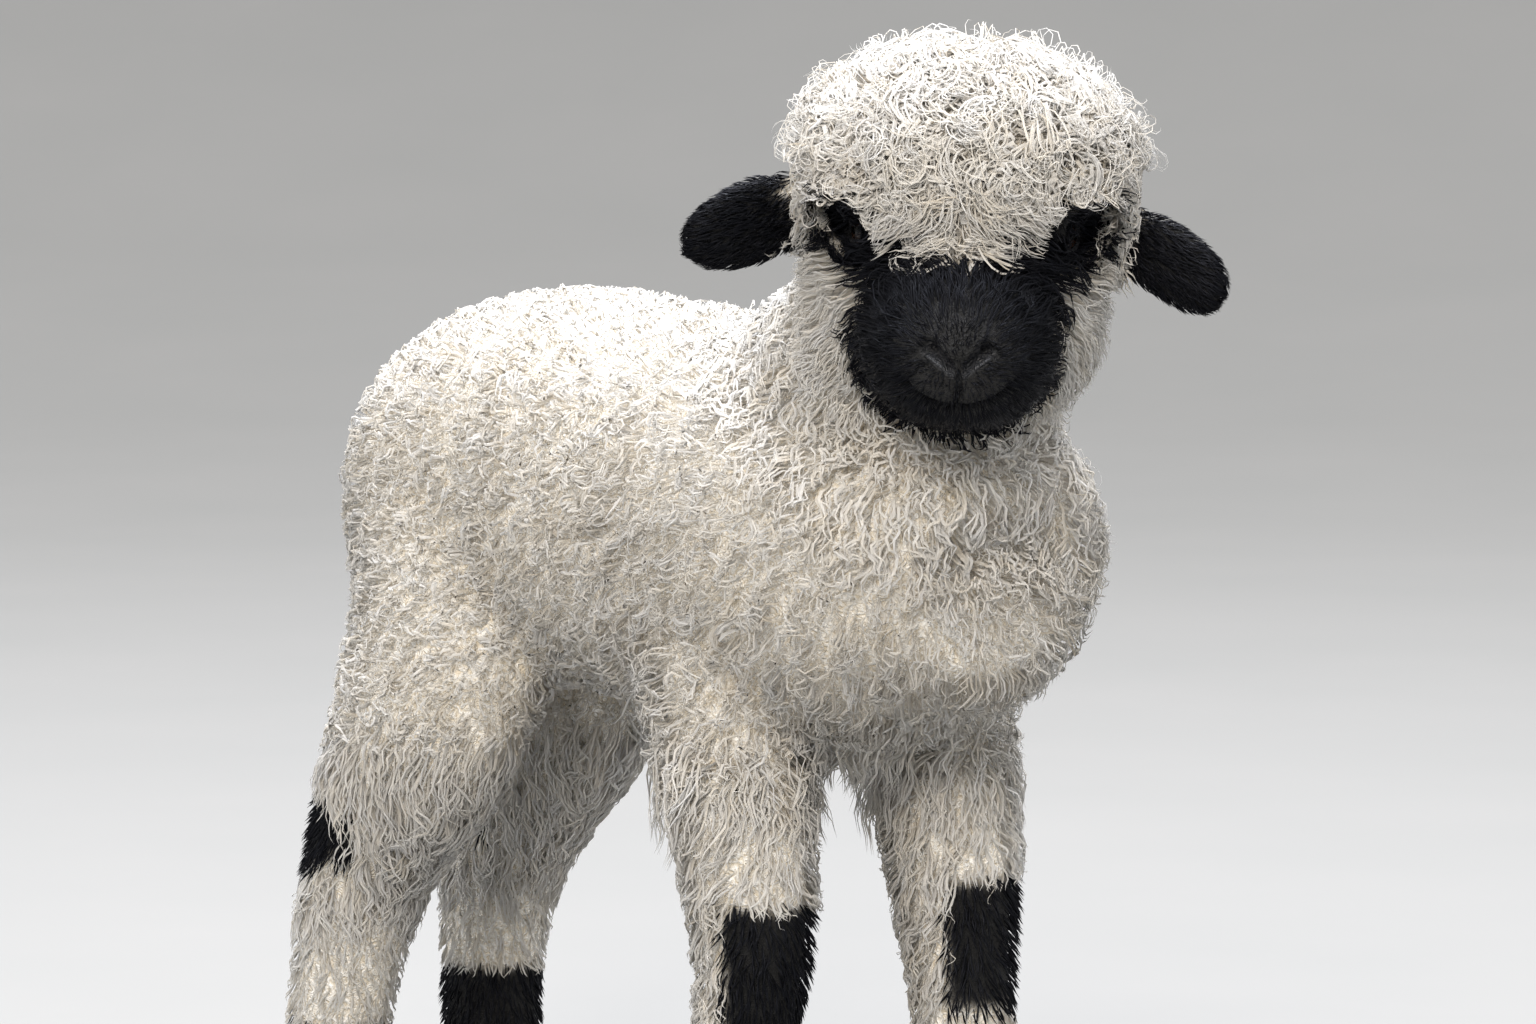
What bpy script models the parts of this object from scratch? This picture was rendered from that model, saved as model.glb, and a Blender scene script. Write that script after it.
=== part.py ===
"""A Valais Blacknose lamb, standing with its head turned to its right, at life size.

Metres, +Z up. The lamb heads along -Y and its left side is +X. The floor is z = 0.
Each solid reaches out to the tips of the coat.
"""

from math import cos, pi, radians, sin

import bmesh
import bpy
from mathutils import Matrix, Vector

# The whole animal
GAP = 0.0004  # between solids that touch
COAT_VOXEL = 0.0042  # grain of the joined body before it is thinned
WHOLE_FACES = 9000  # triangles of the joined body before it is parted
BODY_FACES = 6300  # triangles of all its pieces
CENTRE = Vector((0.0140, 0.0554, 0.0))  # moves the middle of its box to the origin

# Trunk: each row is y, top, underside and half-width
TRUNK = (
    (-0.264, 0.348, 0.306, 0.020),
    (-0.253, 0.376, 0.280, 0.055),
    (-0.222, 0.420, 0.262, 0.085),
    (-0.155, 0.452, 0.258, 0.096),
    (-0.085, 0.457, 0.262, 0.092),
    (-0.005, 0.463, 0.270, 0.088),
    (0.050, 0.467, 0.270, 0.088),
    (0.105, 0.458, 0.268, 0.087),
    (0.146, 0.440, 0.280, 0.077),
    (0.174, 0.410, 0.308, 0.056),
    (0.187, 0.378, 0.340, 0.022),
)

# Neck: each row is x, y, z, half-width and half-depth
NECK = (
    (0.000, -0.120, 0.345, 0.078, 0.095),
    (-0.002, -0.158, 0.395, 0.073, 0.088),
    (-0.008, -0.206, 0.440, 0.069, 0.072),
    (-0.022, -0.232, 0.485, 0.059, 0.056),
    (-0.026, -0.245, 0.515, 0.050, 0.048),
)

# Legs: each row is a height with its half-width and half-depth
FORELEG = (
    (0.340, 0.040, 0.058),
    (0.285, 0.038, 0.048),
    (0.250, 0.036, 0.039),
    (0.215, 0.034, 0.035),
    (0.182, 0.031, 0.032),
    (0.155, 0.028, 0.029),
    (0.125, 0.025, 0.026),
    (0.090, 0.024, 0.025),
    (0.058, 0.025, 0.027),
    (0.036, 0.024, 0.027),
    (0.014, 0.020, 0.024),
)
HINDLEG = (
    (0.360, 0.045, 0.066),
    (0.300, 0.044, 0.066),
    (0.250, 0.041, 0.058),
    (0.212, 0.037, 0.047),
    (0.176, 0.033, 0.036),
    (0.142, 0.030, 0.032),
    (0.110, 0.027, 0.029),
    (0.082, 0.026, 0.028),
    (0.058, 0.026, 0.029),
    (0.036, 0.025, 0.028),
    (0.014, 0.021, 0.025),
)
# Where each leg stands: x at the body and at the foot, then y at each of its rows
STANCE = {
    "foreleg_right": (
        (-0.048, -0.055),
        (-0.118, -0.124, -0.130, -0.138, -0.143, -0.144, -0.137, -0.134, -0.134, -0.140, -0.146),
    ),
    "foreleg_left": (
        (0.048, 0.055),
        (-0.125, -0.140, -0.150, -0.158, -0.163, -0.166, -0.168, -0.168, -0.168, -0.174, -0.180),
    ),
    "hindleg_right": (
        (-0.045, -0.065),
        (0.098, 0.084, 0.098, 0.124, 0.147, 0.159, 0.168, 0.174, 0.176, 0.170, 0.164),
    ),
    "hindleg_left": (
        (0.045, 0.060),
        (0.120, 0.124, 0.145, 0.170, 0.190, 0.203, 0.207, 0.208, 0.208, 0.202, 0.196),
    ),
}
ELBOW_CUT = 0.2500
KNEE_CUT = {"foreleg": 0.1440, "hindleg": 0.1620}
FETLOCK_CUT = 0.0700

# Hooves: two claws under each foot
HOOF_HEIGHT = 0.0240
CLAW_WIDTH = 0.0210
CLAW_INNER = 0.68  # how far its inner side reaches, against its outer side
CLAW_LENGTH = 0.0410
CLEFT = 0.0024
TOE_SLOPE = 0.50  # run of the toe's wall for each unit of height
CLAW_SIDES = 12

# Tail: each row is y, z, half-width and half-depth
TAIL = (
    (0.165, 0.418, 0.016, 0.014),
    (0.188, 0.400, 0.020, 0.016),
    (0.205, 0.365, 0.023, 0.017),
    (0.208, 0.320, 0.025, 0.016),
    (0.205, 0.275, 0.025, 0.015),
    (0.203, 0.240, 0.020, 0.013),
    (0.203, 0.222, 0.009, 0.007),
)

# Head, in its own frame: x to its left, -y ahead, z up, with the eyes at z = 0
HEAD_PLACE = Vector((-0.028, -0.260, 0.505))
HEAD_TURN = radians(-42.5)
HEAD_TILT = radians(1.5)
HEAD_BALLS = (  # centre and radii of the cheeks, jaw, topknot, nape and fringe
    ((0.0, 0.010, -0.016), (0.0680, 0.064, 0.056)),
    ((0.0, 0.008, -0.048), (0.0625, 0.052, 0.044)),
    ((0.0, 0.010, 0.026), (0.0850, 0.076, 0.062)),
    ((0.0, 0.038, 0.000), (0.0600, 0.048, 0.060)),
    ((0.0, -0.022, 0.008), (0.0580, 0.038, 0.026)),
)
MUZZLE = (  # y, z, half-width and half-height
    (0.010, -0.040, 0.0490, 0.0440),
    (-0.022, -0.044, 0.0490, 0.0450),
    (-0.045, -0.050, 0.0450, 0.0410),
    (-0.064, -0.058, 0.0360, 0.0330),
    (-0.077, -0.064, 0.0270, 0.0240),
    (-0.085, -0.067, 0.0140, 0.0130),
)
EARS = {  # x, y, z, half-width and half-thickness from root to tip
    "ear_right": (
        (-0.040, 0.010, 0.017, 0.0120, 0.0085),
        (-0.066, 0.008, 0.012, 0.0190, 0.0100),
        (-0.088, 0.005, 0.003, 0.0215, 0.0095),
        (-0.104, 0.001, -0.004, 0.0215, 0.0085),
        (-0.118, -0.003, -0.008, 0.0170, 0.0070),
        (-0.128, -0.006, -0.009, 0.0080, 0.0040),
    ),
    "ear_left": (
        (0.040, 0.010, 0.014, 0.0120, 0.0085),
        (0.064, 0.008, 0.003, 0.0170, 0.0100),
        (0.084, 0.005, -0.008, 0.0190, 0.0095),
        (0.099, 0.001, -0.017, 0.0185, 0.0085),
        (0.110, -0.003, -0.026, 0.0155, 0.0070),
        (0.117, -0.006, -0.032, 0.0070, 0.0040),
    ),
}
EAR_FACING = Vector((0.0, 0.94, 0.34))
EYE_PLACE = Vector((0.0392, -0.0170, -0.0020))
EYE_RADIUS = 0.0112
EYE_FACING = Vector((0.80, -0.60, 0.0)).normalized()
PIT_DEPTH = 0.046
PIT_MOUTH = 0.0175

# Colours as red, green and blue in linear light, with roughness
WOOL = ((0.78, 0.75, 0.69), 0.85)
BLACK_FUR = ((0.012, 0.012, 0.014), 0.70)
HORN = ((0.020, 0.018, 0.017), 0.40)
EYE_GLOSS = ((0.030, 0.016, 0.010), 0.05)


def head_matrix():
    turn = Matrix.Rotation(HEAD_TURN, 4, "Z") @ Matrix.Rotation(HEAD_TILT, 4, "Y")
    return Matrix.Translation(HEAD_PLACE) @ turn


def smooth_rows(rows, steps):
    """Rows of numbers, with steps rows from each one to the next on a smooth curve."""
    rows = [Vector(row) for row in rows]
    ends = [2 * rows[0] - rows[1], *rows, 2 * rows[-1] - rows[-2]]
    out = []
    for before, start, end, after in zip(ends, ends[1:], ends[2:], ends[3:]):
        for step in range(steps):
            t = step / steps
            out.append(
                start
                + (end - before) * (t / 2)
                + (2 * before - 5 * start + 4 * end - after) * (t * t / 2)
                + (3 * start - before - 3 * end + after) * (t * t * t / 2)
            )
    return [*out, rows[-1]]


def loft(bm, rows, side, sides=20, square=2.0, grow=0.0, steps=4):
    """Adds a closed tube. Each row is x, y, z and the two half-sizes, the first along side."""
    rows = smooth_rows(rows, steps)
    centres = [Vector(row[:3]) for row in rows]
    rings = []
    for i, row in enumerate(rows):
        along = centres[min(i + 1, len(rows) - 1)] - centres[max(i - 1, 0)]
        along.normalize()
        across = (side - along * side.dot(along)).normalized()
        other = along.cross(across)
        ring = []
        for k in range(sides):
            turn = 2 * pi * k / sides
            c, s = cos(turn), sin(turn)
            flat = (abs(c) ** square + abs(s) ** square) ** (-1 / square)
            reach = across * c * (row[3] + grow) + other * s * (row[4] + grow)
            end = along * (-grow if i == 0 else grow if i == len(rows) - 1 else 0)
            ring.append(bm.verts.new(centres[i] + end + reach * flat))
        rings.append(ring)
    for low, high in zip(rings, rings[1:]):
        for k in range(sides):
            bm.faces.new((low[k - 1], low[k], high[k], high[k - 1]))
    bm.faces.new(rings[0])
    bm.faces.new(rings[-1][::-1])


def ball(bm, centre, radii, place):
    size = Matrix.Diagonal((*radii, 1.0))
    matrix = place @ Matrix.Translation(centre) @ size
    bmesh.ops.create_icosphere(bm, subdivisions=4, radius=1.0, matrix=matrix)


def finished_mesh(bm, name):
    bm.normal_update()
    bmesh.ops.recalc_face_normals(bm, faces=bm.faces)
    mesh = bpy.data.meshes.new(name)
    bm.to_mesh(mesh)
    bm.free()
    return mesh


def new_object(name, mesh):
    made = bpy.data.objects.new(name, mesh)
    bpy.context.scene.collection.objects.link(made)
    return made


def material(name, look):
    colour, roughness = look
    made = bpy.data.materials.new(name)
    made.use_nodes = True
    shader = made.node_tree.nodes["Principled BSDF"]
    shader.inputs["Base Color"].default_value = (*colour, 1.0)
    shader.inputs["Roughness"].default_value = roughness
    shader.inputs["Metallic"].default_value = 0.0
    made.diffuse_color = (*colour, 1.0)
    return made


def evaluated(made):
    """The mesh of an object with its modifiers applied."""
    graph = bpy.context.evaluated_depsgraph_get()
    return bpy.data.meshes.new_from_object(made.evaluated_get(graph))


def triangles(mesh):
    mesh.calc_loop_triangles()
    return len(mesh.loop_triangles)


def thinned(mesh, share):
    """The mesh with this share of its triangles."""
    made = new_object("thin", mesh)
    thin = made.modifiers.new("thin", "DECIMATE")
    thin.ratio = share
    thin.use_collapse_triangulate = True
    result = evaluated(made)
    bpy.data.objects.remove(made)
    return result


def leg_rows(name):
    (top_x, foot_x), places = STANCE[name]
    shape = FORELEG if name.startswith("foreleg") else HINDLEG
    top = shape[0][0]
    rows = []
    for (height, half_width, half_depth), y in zip(shape, places):
        down = min(1.0, (top - height) / (top - ELBOW_CUT))
        x = top_x + (foot_x - top_x) * down
        rows.append((x, y, height, half_width, half_depth))
    return rows


def body_whole():
    """The trunk, neck, head and legs as one closed mesh of few triangles."""
    bm = bmesh.new()
    side = Vector((1.0, 0.0, 0.0))
    trunk = [(0.0, y, (t + b) / 2, w, (t - b) / 2) for y, t, b, w in TRUNK]
    loft(bm, trunk, side, sides=32, square=2.3)
    loft(bm, NECK, Vector((0.93, -0.36, 0.0)), sides=28)
    for name in STANCE:
        loft(bm, leg_rows(name), side, sides=24)
    place = head_matrix()
    for centre, radii in HEAD_BALLS:
        ball(bm, centre, radii, place)
    snout = bmesh.new()
    loft(snout, [(0.0, *row) for row in MUZZLE], side, sides=28, square=2.15)
    snout.transform(place)
    bm.from_mesh(finished_mesh(snout, "snout"))
    whole = new_object("whole", finished_mesh(bm, "whole"))
    remesh = whole.modifiers.new("join", "REMESH")
    remesh.mode = "VOXEL"
    remesh.voxel_size = COAT_VOXEL
    soften = whole.modifiers.new("soften", "SMOOTH")
    soften.factor = 0.5
    soften.iterations = 5
    fine = evaluated(whole)
    bpy.data.objects.remove(whole)
    return thinned(fine, WHOLE_FACES / triangles(fine))


def slab(centre, normal, across, half_across, half_along):
    """A thin box that parts the body on a plane, with across as one of its long sides."""
    bm = bmesh.new()
    normal = Vector(normal).normalized()
    across = Vector(across)
    across = (across - normal * across.dot(normal)).normalized()
    along = normal.cross(across)
    matrix = Matrix((across, along, normal)).transposed().to_4x4()
    matrix.translation = Vector(centre)
    size = Matrix.Diagonal((2 * half_across, 2 * half_along, GAP, 1.0))
    bmesh.ops.create_cube(bm, size=1.0, matrix=matrix @ size)
    return finished_mesh(bm, "slab")


def block(low, high):
    bm = bmesh.new()
    low, high = Vector(low), Vector(high)
    size = Matrix.Diagonal((*(high - low), 1.0))
    bmesh.ops.create_cube(bm, size=1.0, matrix=Matrix.Translation((low + high) / 2) @ size)
    return finished_mesh(bm, "block")


def head_slab(centre, normal, half_across, half_along):
    place = head_matrix()
    turn = place.to_3x3()
    middle = place @ Vector(centre)
    return slab(middle, turn @ Vector(normal), turn @ Vector((1, 0, 0)), half_across, half_along)


def body_slabs():
    """The cuts that part the joined body into the pieces a person would name."""
    cuts = [
        slab((0.0, -0.060, 0.36), (0, 1, 0), (1, 0, 0), 0.12, 0.16),
        slab((0.0, 0.028, 0.36), (0, 1, 0), (1, 0, 0), 0.12, 0.16),
        slab((0.0, -0.172, 0.408), (0, -0.55, 0.83), (1, 0, 0), 0.12, 0.125),
        slab((-0.015, -0.222, 0.458), (-0.25, -0.66, 0.70), (0.93, -0.36, 0), 0.090, 0.088),
        head_slab((0.0, 0.0, 0.011), (0, 0.10, 1), 0.11, 0.11),
        head_slab((0.0, -0.031, -0.054), (0, -0.829, -0.559), 0.075, 0.080),
    ]
    for name in STANCE:
        rows = leg_rows(name)
        kind = name.split("_")[0]
        for height in (ELBOW_CUT, KNEE_CUT[kind], FETLOCK_CUT):
            near = min(rows, key=lambda row: abs(row[2] - height))
            deep = 0.09 if height == ELBOW_CUT else 0.06
            x = near[0] * 1.02
            cuts.append(slab((x, near[1], height), (0, 0, 1), (1, 0, 0), 0.058, deep))
    cuts.append(block((-0.2, -0.3, -0.1), (0.2, 0.3, HOOF_HEIGHT + GAP)))
    return cuts


def ear_mesh(name, grow=0.0):
    bm = bmesh.new()
    turned = [(x, y, z, thick, wide) for x, y, z, wide, thick in EARS[name]]
    loft(bm, turned, EAR_FACING, sides=12, grow=grow, steps=2)
    bm.transform(head_matrix())
    return finished_mesh(bm, name)


def tail_mesh(grow=0.0):
    bm = bmesh.new()
    rows = [(0.0, *row) for row in TAIL]
    loft(bm, rows, Vector((1.0, 0.0, 0.0)), sides=12, grow=grow, steps=2)
    return finished_mesh(bm, "tail")


def eye_frame(hand):
    """The place of one eye, with its own z axis out through the pupil."""
    centre = Vector((hand * EYE_PLACE.x, EYE_PLACE.y, EYE_PLACE.z))
    facing = Vector((hand * EYE_FACING.x, EYE_FACING.y, EYE_FACING.z))
    turn = facing.to_track_quat("Z", "Y").to_matrix().to_4x4()
    return head_matrix() @ Matrix.Translation(centre) @ turn


def eye_mesh(hand):
    bm = bmesh.new()
    bmesh.ops.create_uvsphere(bm, u_segments=16, v_segments=10, radius=EYE_RADIUS)
    bm.transform(eye_frame(hand))
    return finished_mesh(bm, "eye")


def socket_meshes(hand):
    """The hole that an eye sits in, and the pit through the coat in front of it."""
    hole = bmesh.new()
    radius = EYE_RADIUS + GAP
    bmesh.ops.create_uvsphere(hole, u_segments=16, v_segments=10, radius=radius)
    hole.transform(eye_frame(hand))
    pit = bmesh.new()
    shift = Matrix.Translation((0.0, 0.0, PIT_DEPTH / 2))
    bmesh.ops.create_cone(
        pit,
        cap_ends=True,
        segments=16,
        radius1=radius * 0.97,
        radius2=PIT_MOUTH,
        depth=PIT_DEPTH,
        matrix=shift,
    )
    pit.transform(eye_frame(hand))
    return [finished_mesh(hole, "hole"), finished_mesh(pit, "pit")]


def cut_away(mesh, cutters):
    """The mesh less each of the cutters in turn."""
    made = new_object("cut", mesh)
    tools = []
    for i, cutter in enumerate(cutters):
        tool = new_object(f"cutter_{i}", cutter)
        tool.hide_render = True
        tool.display_type = "WIRE"
        tools.append(tool)
        cut = made.modifiers.new(f"cut_{i}", "BOOLEAN")
        cut.operation = "DIFFERENCE"
        cut.solver = "EXACT"
        cut.object = tool
    result = evaluated(made)
    for thing in (made, *tools):
        bpy.data.objects.remove(thing)
    return result


def loose_pieces(mesh):
    """Splits a mesh into its separate closed bodies, and drops crumbs."""
    bm = bmesh.new()
    bm.from_mesh(mesh)
    bmesh.ops.remove_doubles(bm, verts=bm.verts, dist=1e-6)
    bmesh.ops.dissolve_degenerate(bm, edges=bm.edges, dist=1e-6)
    bmesh.ops.triangulate(bm, faces=bm.faces)
    left = set(bm.faces)
    pieces = []
    while left:
        todo = [left.pop()]
        group = list(todo)
        while todo:
            face = todo.pop()
            for edge in face.edges:
                for other in edge.link_faces:
                    if other in left:
                        left.remove(other)
                        todo.append(other)
                        group.append(other)
        pieces.append(group)
    out = []
    for group in pieces:
        piece = bmesh.new()
        verts = {}
        for face in group:
            for vert in face.verts:
                if vert not in verts:
                    verts[vert] = piece.verts.new(vert.co)
        for face in group:
            piece.faces.new([verts[vert] for vert in face.verts])
        if abs(piece.calc_volume()) > 2e-8:
            out.append(finished_mesh(piece, "piece"))
        else:
            piece.free()
    bm.free()
    return out


def joined(meshes):
    bm = bmesh.new()
    for mesh in meshes:
        bm.from_mesh(mesh)
    return finished_mesh(bm, "joined")


def middle_of(mesh):
    return sum((vert.co for vert in mesh.vertices), Vector()) / len(mesh.vertices)


def named_places():
    """A point near the middle of each piece of the parted body, with its look."""
    place = head_matrix()
    places = {
        "chest": (Vector((0.0, -0.150, 0.340)), "wool"),
        "barrel": (Vector((0.0, -0.016, 0.360)), "wool"),
        "rump": (Vector((0.0, 0.110, 0.350)), "wool"),
        "neck": (Vector((-0.010, -0.190, 0.430)), "wool"),
        "head": (place @ Vector((0.0, 0.015, -0.030)), "wool"),
        "topknot": (place @ Vector((0.0, 0.010, 0.050)), "wool"),
        "muzzle": (place @ Vector((0.0, -0.060, -0.055)), "black fur"),
    }
    for name in STANCE:
        kind, hand = name.split("_")
        heights = {"upper": 0.200, "lower": 0.105, "foot": 0.045}
        for part, height in heights.items():
            row = min(leg_rows(name), key=lambda row: abs(row[2] - height))
            look = "black fur" if part == "foot" else "wool"
            places[f"{kind}_{part}_{hand}"] = (Vector((row[0], row[1], height)), look)
    return places


def claw_mesh(foot, hand):
    """One claw of a hoof: a flat sole, a sloping toe and a straight inner side."""
    bm = bmesh.new()
    rings = []
    for level in range(4):
        up = level / 3
        height = up * HOOF_HEIGHT
        narrow = 1.0 - 0.12 * up
        ring = []
        for k in range(CLAW_SIDES):
            turn = 2 * pi * k / CLAW_SIDES
            c, s = cos(turn), sin(turn)
            ahead = max(-c, 0.0)
            reach = CLAW_INNER if s * hand < 0 else 1.0
            x = s * CLAW_WIDTH / 2 * narrow * (1.0 - 0.30 * ahead) * reach
            y = c * CLAW_LENGTH / 2 * (1.0 - 0.10 * up)
            y += TOE_SLOPE * height * (0.35 + 0.65 * ahead)
            ring.append(bm.verts.new((x, y, height)))
        rings.append(ring)
    for low, high in zip(rings, rings[1:]):
        for k in range(CLAW_SIDES):
            bm.faces.new((low[k - 1], low[k], high[k], high[k - 1]))
    bm.faces.new(rings[0])
    bm.faces.new(rings[-1])
    apart = (CLAW_INNER * CLAW_WIDTH + CLEFT) / 2
    bm.transform(Matrix.Translation((foot.x + hand * apart, foot.y, 0.0)))
    return finished_mesh(bm, "claw")


def build():
    for old in list(bpy.data.objects):
        bpy.data.objects.remove(old)
    looks = {
        "wool": material("wool", WOOL),
        "black fur": material("black fur", BLACK_FUR),
        "horn": material("horn", HORN),
        "eye": material("eye", EYE_GLOSS),
    }
    meshes = {}
    sockets = [tail_mesh(GAP)]
    meshes["tail"] = (tail_mesh(), "wool")
    for name in EARS:
        sockets.append(ear_mesh(name, GAP))
        meshes[name] = (ear_mesh(name), "black fur")
    for hand, side in ((1, "left"), (-1, "right")):
        sockets.extend(socket_meshes(hand))
        meshes[f"eye_{side}"] = (eye_mesh(hand), "eye")
    parted = cut_away(body_whole(), body_slabs())
    share = BODY_FACES / triangles(parted)
    pieces = joined([thinned(piece, share) for piece in loose_pieces(parted)])
    places = named_places()
    for mesh in loose_pieces(cut_away(pieces, sockets)):
        middle = middle_of(mesh)
        name = min(places, key=lambda name: (places[name][0] - middle).length)
        look = places.pop(name)[1]
        meshes[name] = (mesh, look)
    for name in STANCE:
        kind, side = name.split("_")
        row = leg_rows(name)[-1]
        foot = Vector((row[0], row[1] - 0.002, 0.0))
        for hand, where in ((1, "a"), (-1, "b")):
            meshes[f"claw_{kind}_{side}_{where}"] = (claw_mesh(foot, hand), "horn")
    for name, (mesh, look) in meshes.items():
        mesh.name = name
        mesh.transform(Matrix.Translation(CENTRE))
        mesh.materials.clear()
        mesh.materials.append(looks[look])
        mesh.shade_smooth()
        mesh.set_sharp_from_angle(angle=radians(40))
        new_object(name, mesh)


if __name__ == "__main__":
    build()
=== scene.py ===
from math import cos, pi, radians, sin

import bmesh
import bpy
import numpy as np
from mathutils import Matrix, Vector
from mathutils.bvhtree import BVHTree
from mathutils.kdtree import KDTree


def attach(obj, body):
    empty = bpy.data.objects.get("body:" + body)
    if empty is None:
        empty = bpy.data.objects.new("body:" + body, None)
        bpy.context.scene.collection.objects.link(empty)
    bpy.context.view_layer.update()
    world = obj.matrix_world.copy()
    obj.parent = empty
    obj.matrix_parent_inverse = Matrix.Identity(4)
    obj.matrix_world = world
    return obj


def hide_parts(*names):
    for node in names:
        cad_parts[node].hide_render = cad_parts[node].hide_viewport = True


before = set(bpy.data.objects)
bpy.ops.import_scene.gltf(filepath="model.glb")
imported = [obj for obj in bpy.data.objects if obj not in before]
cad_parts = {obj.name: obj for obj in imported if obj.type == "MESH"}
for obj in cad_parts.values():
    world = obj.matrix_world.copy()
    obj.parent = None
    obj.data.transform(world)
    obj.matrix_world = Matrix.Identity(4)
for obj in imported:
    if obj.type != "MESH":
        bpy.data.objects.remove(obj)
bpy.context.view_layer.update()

# The room
# A plain pale floor under wide soft light from above, as under an even grey sky.
# The camera stands three metres off, forty degrees to the lamb's right of head on.
BODY_SHIFT = Vector((0.0140, 0.0554, 0.0))  # from the lamb's own plan to the box's middle
VIEW_TURN = radians(-40)
VIEW_RISE = radians(4.5)
VIEW_FAR = 3.0
FLOOR_HEX = "#80807e"


def linear(hex_colour, alpha=1.0):
    """An sRGB colour such as #ffcc00 as linear red, green, blue and alpha."""
    parts = [int(hex_colour[i : i + 2], 16) / 255 for i in (1, 3, 5)]
    parts = [c / 12.92 if c <= 0.04045 else ((c + 0.055) / 1.055) ** 2.4 for c in parts]
    return (*parts, alpha)


def node(tree, kind, settings=None, **links):
    """Adds a shader node; links holds an input's name with a socket or a value."""
    made = tree.nodes.new(kind)
    for name, value in (settings or {}).items():
        setattr(made, name, value)
    for name, value in links.items():
        key = int(name[1:]) if name[0] == "i" and name[1:].isdigit() else name.replace("_", " ")
        if isinstance(value, bpy.types.NodeSocket):
            tree.links.new(value, made.inputs[key])
        else:
            made.inputs[key].default_value = value
    return made


def new_material(name):
    """An empty material with its Principled shader already on the output."""
    made = bpy.data.materials.new(name)
    made.use_nodes = True
    tree = made.node_tree
    return made, tree, tree.nodes["Principled BSDF"]


def new_object(name, mesh):
    made = bpy.data.objects.new(name, mesh)
    bpy.context.scene.collection.objects.link(made)
    return made


def soft_lamp(name, place, aim, size, power, colour):
    lamp = bpy.data.lights.new(name, "AREA")
    lamp.shape = "DISK"
    lamp.size = size
    lamp.energy = power
    lamp.color = linear(colour)[:3]
    made = new_object(name, lamp)
    made.location = place
    made.rotation_euler = (Vector(aim) - Vector(place)).to_track_quat("-Z", "Y").to_euler()


def settle(bm):
    """A weld stores its faces in a different order each run, so they are stored again in one order."""
    bm.verts.index_update()
    rings = []
    for face in bm.faces:
        ring = [vert.index for vert in face.verts]
        first = ring.index(min(ring))
        rings.append(ring[first:] + ring[:first])
    places = [vert.co.copy() for vert in bm.verts]
    bm.clear()
    verts = [bm.verts.new(place) for place in places]
    for ring in sorted(rings):
        bm.faces.new([verts[index] for index in ring])
    bm.normal_update()


level = Vector((cos(VIEW_TURN), sin(VIEW_TURN), 0.0))
forward = Vector(
    (-sin(VIEW_TURN) * cos(VIEW_RISE), cos(VIEW_TURN) * cos(VIEW_RISE), -sin(VIEW_RISE))
)
target = level * 0.057 + Vector((0.0, 0.0, 0.359)) + BODY_SHIFT
camera = new_object("camera", bpy.data.cameras.new("camera"))
camera.data.sensor_width = 36.0
camera.data.lens = 144.14
camera.data.clip_end = 60.0
camera.location = target - forward * VIEW_FAR
camera.rotation_euler = forward.to_track_quat("-Z", "Y").to_euler()
bpy.context.scene.camera = camera
bpy.context.scene.view_settings.view_transform = "Standard"

bm = bmesh.new()
edge = [(0.0, 0.0), (4.5, 0.0), (5.6, 0.05), (6.7, 0.25), (7.7, 0.65), (8.5, 1.25), (9.1, 2.0), (9.4, 2.9)]
rim = [bm.verts.new((reach, 0.0, height)) for reach, height in edge]
for low, high in zip(rim, rim[1:]):
    bm.edges.new((low, high))
bmesh.ops.spin(
    bm, geom=bm.verts[:] + bm.edges[:], axis=(0, 0, 1), cent=(0, 0, 0), steps=96, angle=2 * pi,
    use_merge=True,
)
bmesh.ops.remove_doubles(bm, verts=bm.verts, dist=1e-5)
settle(bm)
down = min(bm.faces, key=lambda face: face.calc_center_median().length).normal.z < 0
if down:
    bmesh.ops.reverse_faces(bm, faces=bm.faces)
for face in bm.faces:
    face.smooth = True
floor_mesh = bpy.data.meshes.new("floor")
bm.to_mesh(floor_mesh)
bm.free()
floor = new_object("floor", floor_mesh)
# Painted board: quite matt, with a very slight unevenness
made, tree, shader = new_material("matt painted board")
place = node(tree, "ShaderNodeTexCoord").outputs["Object"]
mottle = node(tree, "ShaderNodeTexNoise", Vector=place, Scale=3.0, Detail=3.0)
shade = node(tree, "ShaderNodeMix", {"data_type": "RGBA"}, i0=mottle.outputs["Fac"])
shade.inputs[6].default_value = linear(FLOOR_HEX)
shade.inputs[7].default_value = linear("#858482")
tree.links.new(shade.outputs[2], shader.inputs["Base Color"])
shader.inputs["Roughness"].default_value = 0.9
floor_mesh.materials.append(made)

world = bpy.data.worlds.new("grey sky")
world.use_nodes = True
sky = world.node_tree.nodes["Background"]
sky.inputs["Color"].default_value = linear("#f1f1f2")
sky.inputs["Strength"].default_value = 1.9
bpy.context.scene.world = world
soft_lamp("overhead", (0.2, 0.3, 4.2), (0.0, 0.0, 0.3), 3.0, 390.0, "#f4f7ff")
soft_lamp("window", (-2.2, -2.0, 1.9), (0.0, 0.0, 0.35), 1.1, 85.0, "#fff6ea")

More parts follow.
